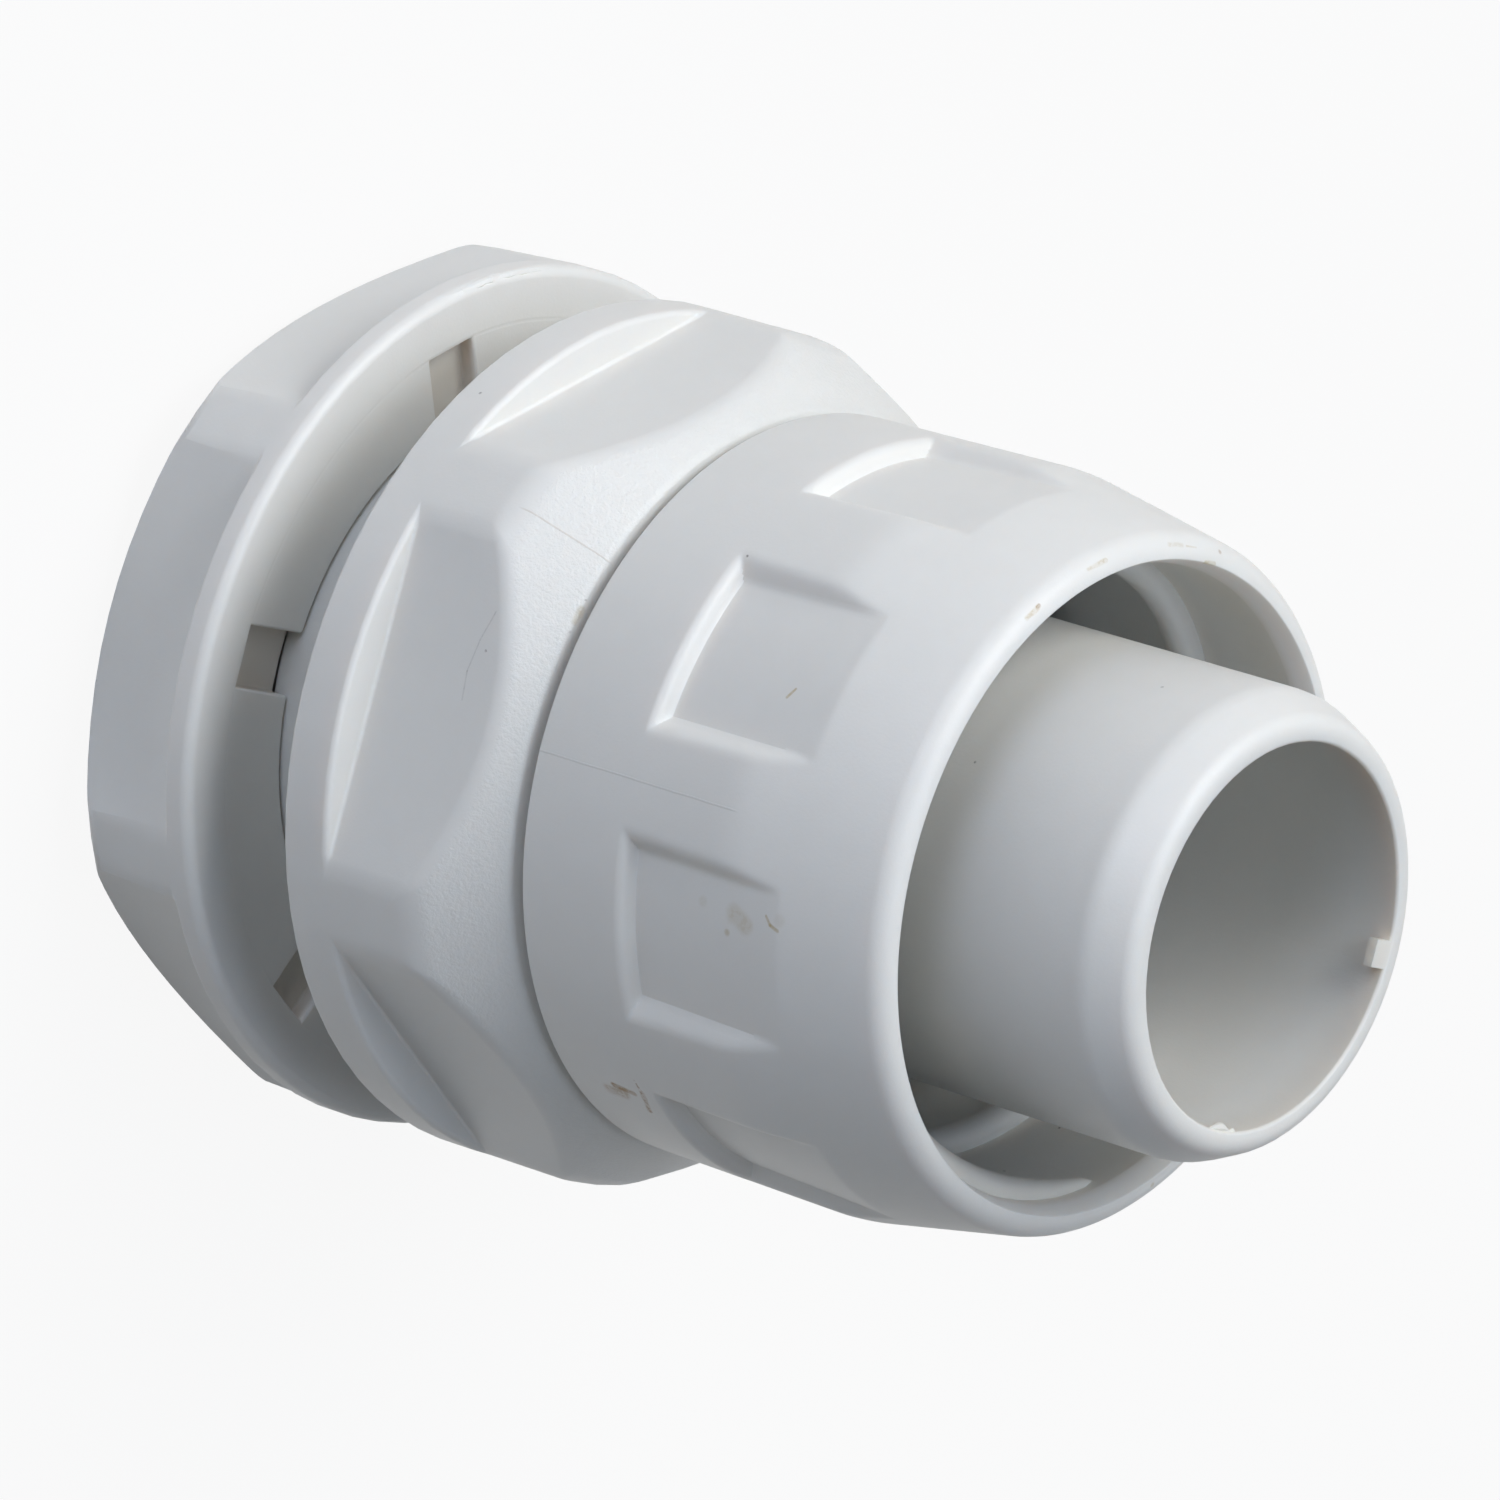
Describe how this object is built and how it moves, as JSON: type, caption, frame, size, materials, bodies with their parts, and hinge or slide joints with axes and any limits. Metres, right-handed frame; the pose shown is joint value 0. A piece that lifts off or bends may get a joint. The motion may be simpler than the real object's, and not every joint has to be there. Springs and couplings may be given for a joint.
{
  "type": "flexible conduit connector",
  "caption": "Plastic connector for spiral conduit: hexagonal body with panel shank and push-in spigot, swivel nut with grip pockets, and lock nut.",
  "frame": {"origin": "on the axis, at the end of the shank that the connector stands on", "axes": "+Z along the axis from the shank to the mouth of the spigot; +X at the middle of one flat of the hexagon"},
  "size_m": [0.0302, 0.0302, 0.0409],
  "materials": {
    "body_plastic": "satin moulded, fine eroded texture on the flank",
    "swivel_nut_plastic": "satin moulded",
    "lock_nut_plastic": "satin moulded"
  },
  "bodies": {
    "body": {"connector_body": "body_plastic"},
    "nut": {"swivel_nut": "swivel_nut_plastic"},
    "lock": {"lock_nut": "lock_nut_plastic"}
  },
  "joints": [
    {"name": "swivel_nut_spin", "type": "hinge", "parent": "body", "child": "nut", "pos_m": [0, 0, 0.0206], "axis": [0, 0, 1], "continuous": true},
    {"name": "lock_nut_travel", "type": "slide", "parent": "body", "child": "lock", "axis": [0, 0, 1], "range_m": [0, 0.0038]}
  ]
}
